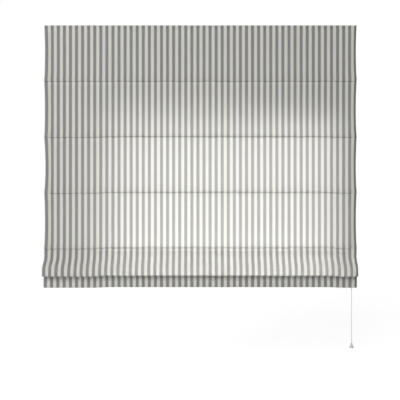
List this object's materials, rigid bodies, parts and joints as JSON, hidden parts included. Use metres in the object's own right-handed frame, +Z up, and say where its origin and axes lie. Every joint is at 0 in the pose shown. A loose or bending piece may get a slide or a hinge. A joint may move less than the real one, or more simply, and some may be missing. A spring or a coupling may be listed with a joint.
{
  "type": "roman blind",
  "caption": "Corded roman blind: striped cloth hung by hook and loop tape from a channel headrail, stiffened by thin rods and raised by lift cords with a bell pull; lowest fold drawn up.",
  "frame": {"origin": "centre of the middle bracket's screw hole, on the wall's face", "axes": "+Z up, +X along the headrail to the right seen from the room, +Y into the wall, so the cloth faces -Y"},
  "size_m": [1.3, 0.0682, 1.3455],
  "materials": {
    "striped_cloth": "plain woven cotton, unlined",
    "tape": "white hook and loop tape",
    "white_aluminium": "white powder coat on an extruded profile",
    "aluminium_bar": "mill finish",
    "cap_plastic": "moulded, fine texture",
    "guide_plastic": "moulded acetal",
    "roller_plastic": "moulded acetal, polished by the cord",
    "catch_plastic": "moulded nylon",
    "bracket_steel": "zinc plated pressed steel",
    "plain_steel": "bright drawn wire",
    "lock_brass": "turned",
    "glass_fibre": "pultruded glass fibre",
    "ring_plastic": "clear-white moulded rings",
    "cord": "braided polyester cord",
    "pull_plastic": "moulded, satin"
  },
  "bodies": {
    "headrail_assembly": {"headrail": "white_aluminium", "end_cap_left": "cap_plastic", "end_cap_right": "cap_plastic", "loop_tape": "tape", "hook_tape": "tape", "bracket_left": "bracket_steel", "bracket_middle": "bracket_steel", "bracket_right": "bracket_steel", "catch_rivets": "plain_steel", "cord_guide_left": "guide_plastic", "cord_guide_middle": "guide_plastic", "cord_guide_right": "guide_plastic", "roller_axles": "plain_steel", "lock_housing": "guide_plastic", "cloth_panels": "striped_cloth", "lowest_fold": "striped_cloth", "rod_1": "glass_fibre", "rod_2": "glass_fibre", "rod_3": "glass_fibre", "rod_4": "glass_fibre", "cord_rings": "ring_plastic", "lift_cord_left": "cord", "lift_cord_middle": "cord", "lift_cord_right": "cord"},
    "bottom_section": {"lower_panel": "striped_cloth", "rod_5": "glass_fibre", "bottom_bar": "aluminium_bar", "tied_rings": "ring_plastic", "tie_knots": "cord"},
    "pull": {"pull_bell": "pull_plastic", "pull_knot": "cord"},
    "catch_left": {"catch_left": "catch_plastic"},
    "catch_middle": {"catch_middle": "catch_plastic"},
    "catch_right": {"catch_right": "catch_plastic"},
    "roller_left": {"roller_left": "roller_plastic"},
    "roller_middle": {"roller_middle": "roller_plastic"},
    "roller_right": {"roller_right": "roller_plastic"},
    "lock_roller": {"lock_roller": "lock_brass"},
    "locking_pin": {"locking_pin": "lock_brass"}
  },
  "joints": [
    {"name": "lift", "type": "slide", "parent": "headrail_assembly", "child": "bottom_section", "axis": [0, 0, 1], "range_m": [-0.2193, 0], "deforming": ["lowest_fold", "lift_cord_left", "lift_cord_middle", "lift_cord_right"]},
    {"name": "pull_travel", "type": "slide", "parent": "headrail_assembly", "child": "pull", "axis": [0, 0, 1], "range_m": [0, 0.2193]},
    {"name": "catch_left_turn", "type": "hinge", "parent": "headrail_assembly", "child": "catch_left", "pos_m": [-0.525, -0.015, 0.012], "axis": [0, 0, 1], "range_deg": [-60, 0]},
    {"name": "catch_middle_turn", "type": "hinge", "parent": "headrail_assembly", "child": "catch_middle", "pos_m": [0, -0.015, 0.012], "axis": [0, 0, 1], "range_deg": [-60, 0]},
    {"name": "catch_right_turn", "type": "hinge", "parent": "headrail_assembly", "child": "catch_right", "pos_m": [0.525, -0.015, 0.012], "axis": [0, 0, 1], "range_deg": [-60, 0]},
    {"name": "roller_left_spin", "type": "hinge", "parent": "headrail_assembly", "child": "roller_left", "pos_m": [-0.54525, -0.0185, -0.0009], "axis": [0, 1, 0], "continuous": true},
    {"name": "roller_middle_spin", "type": "hinge", "parent": "headrail_assembly", "child": "roller_middle", "pos_m": [0.00475, -0.0185, -0.0009], "axis": [0, 1, 0], "continuous": true},
    {"name": "roller_right_spin", "type": "hinge", "parent": "headrail_assembly", "child": "roller_right", "pos_m": [0.55475, -0.0185, -0.0009], "axis": [0, 1, 0], "continuous": true},
    {"name": "lock_roller_spin", "type": "hinge", "parent": "headrail_assembly", "child": "lock_roller", "pos_m": [0.62885, -0.0185, -0.0009], "axis": [0, 1, 0], "continuous": true},
    {"name": "locking_pin_slide", "type": "slide", "parent": "headrail_assembly", "child": "locking_pin", "axis": [0.342, 0, -0.9397], "range_m": [0, 0.004]}
  ],
  "couplings": [
    {"joint": "pull_travel", "follows": "lift", "ratio": -1},
    {"joint": "roller_left_spin", "follows": "lift", "rad_per_m": 210.53},
    {"joint": "roller_middle_spin", "follows": "lift", "rad_per_m": 210.53},
    {"joint": "roller_right_spin", "follows": "lift", "rad_per_m": 210.53},
    {"joint": "lock_roller_spin", "follows": "lift", "rad_per_m": 210.53}
  ]
}
